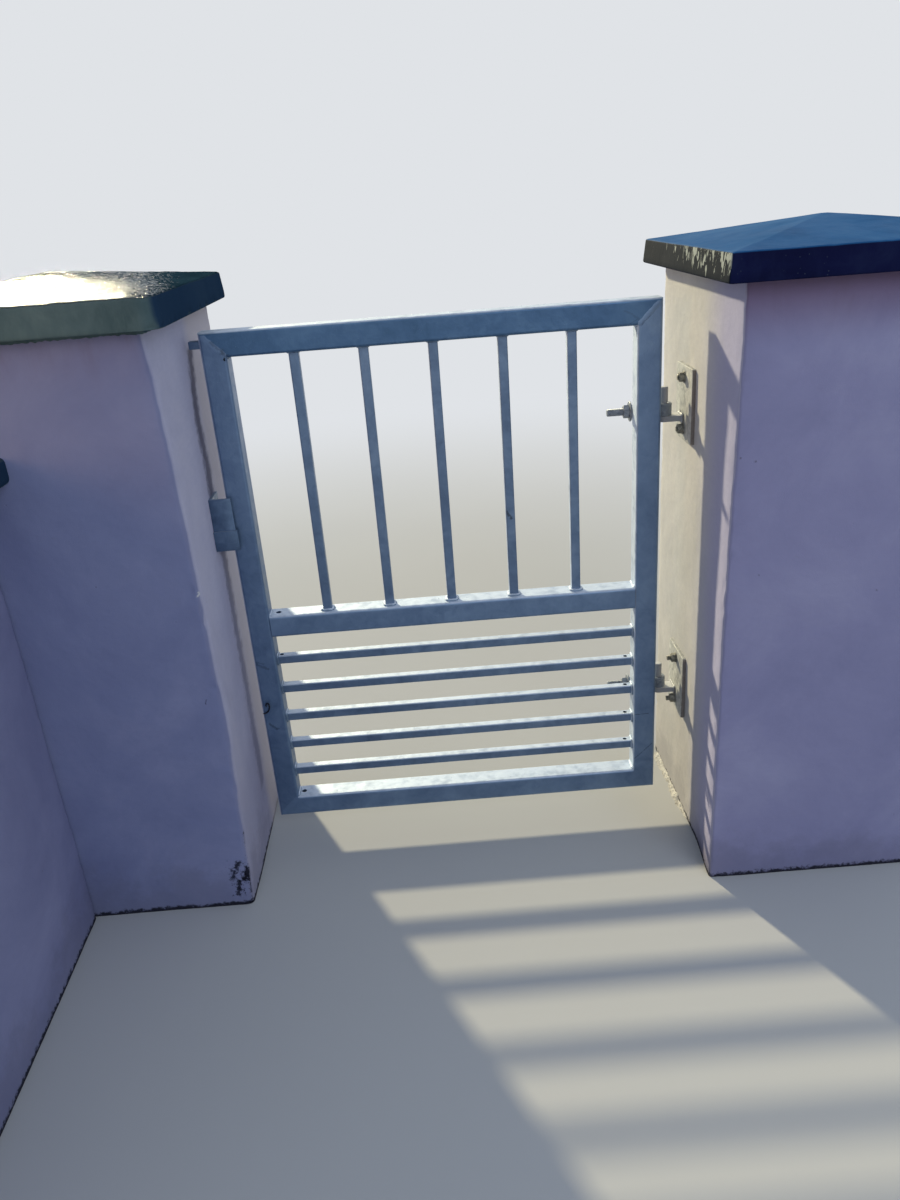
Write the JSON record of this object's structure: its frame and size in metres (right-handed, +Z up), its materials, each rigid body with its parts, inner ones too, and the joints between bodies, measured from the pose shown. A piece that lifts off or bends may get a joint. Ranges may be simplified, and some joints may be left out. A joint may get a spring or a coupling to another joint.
{
  "type": "galvanised pedestrian gate between rendered piers",
  "caption": "Galvanised box-section pedestrian gate, barred above and below a middle rail, hung on eye-bolt hinges between rendered masonry piers with pyramid caps; a lower wall joins one pier.",
  "frame": {"origin": "on the ground, under the middle of the whole gateway's box", "axes": "+Z up; +X along the gateway from the latch pier to the hinge pier; -Y is the front, the side that the wall runs to, and the leaf opens towards +Y"},
  "size_m": [2.055, 1.57, 1.327],
  "materials": {
    "render": "smooth sand and cement render, painted off-white, matt",
    "painted_concrete": "cast concrete, painted slate blue, satin",
    "galvanised_steel": "hot-dip galvanised, dull, with runs and spangle",
    "hinge_steel": "galvanised and dulled, darker than the leaf"
  },
  "bodies": {
    "gateway": {"left_pier": "render", "right_pier": "render", "left_pier_cap": "painted_concrete", "right_pier_cap": "painted_concrete", "garden_wall": "render", "garden_wall_coping": "painted_concrete", "upper_hinge_plate": "hinge_steel", "lower_hinge_plate": "hinge_steel", "upper_plate_anchors": "hinge_steel", "lower_plate_anchors": "hinge_steel", "latch_keeper": "galvanised_steel", "keeper_anchors": "hinge_steel"},
    "gate": {"hinge_stile": "galvanised_steel", "latch_stile": "galvanised_steel", "top_rail": "galvanised_steel", "middle_rail": "galvanised_steel", "bottom_rail": "galvanised_steel", "upright_bar_1": "galvanised_steel", "upright_bar_2": "galvanised_steel", "upright_bar_3": "galvanised_steel", "upright_bar_4": "galvanised_steel", "upright_bar_5": "galvanised_steel", "cross_bar_1": "galvanised_steel", "cross_bar_2": "galvanised_steel", "cross_bar_3": "galvanised_steel", "cross_bar_4": "galvanised_steel", "cross_bar_5": "galvanised_steel", "upper_hinge_barrel": "galvanised_steel", "lower_hinge_barrel": "galvanised_steel", "upper_eye_bolt": "hinge_steel", "lower_eye_bolt": "hinge_steel", "upper_eye_washer": "hinge_steel", "lower_eye_washer": "hinge_steel", "upper_eye_nut": "hinge_steel", "lower_eye_nut": "hinge_steel", "stop_lug": "galvanised_steel"}
  },
  "joints": [
    {"name": "gate_swing", "type": "hinge", "parent": "gateway", "child": "gate", "pos_m": [0.4725, 0.514, 0.639], "axis": [0, 0, -1], "range_deg": [0, 100]}
  ]
}
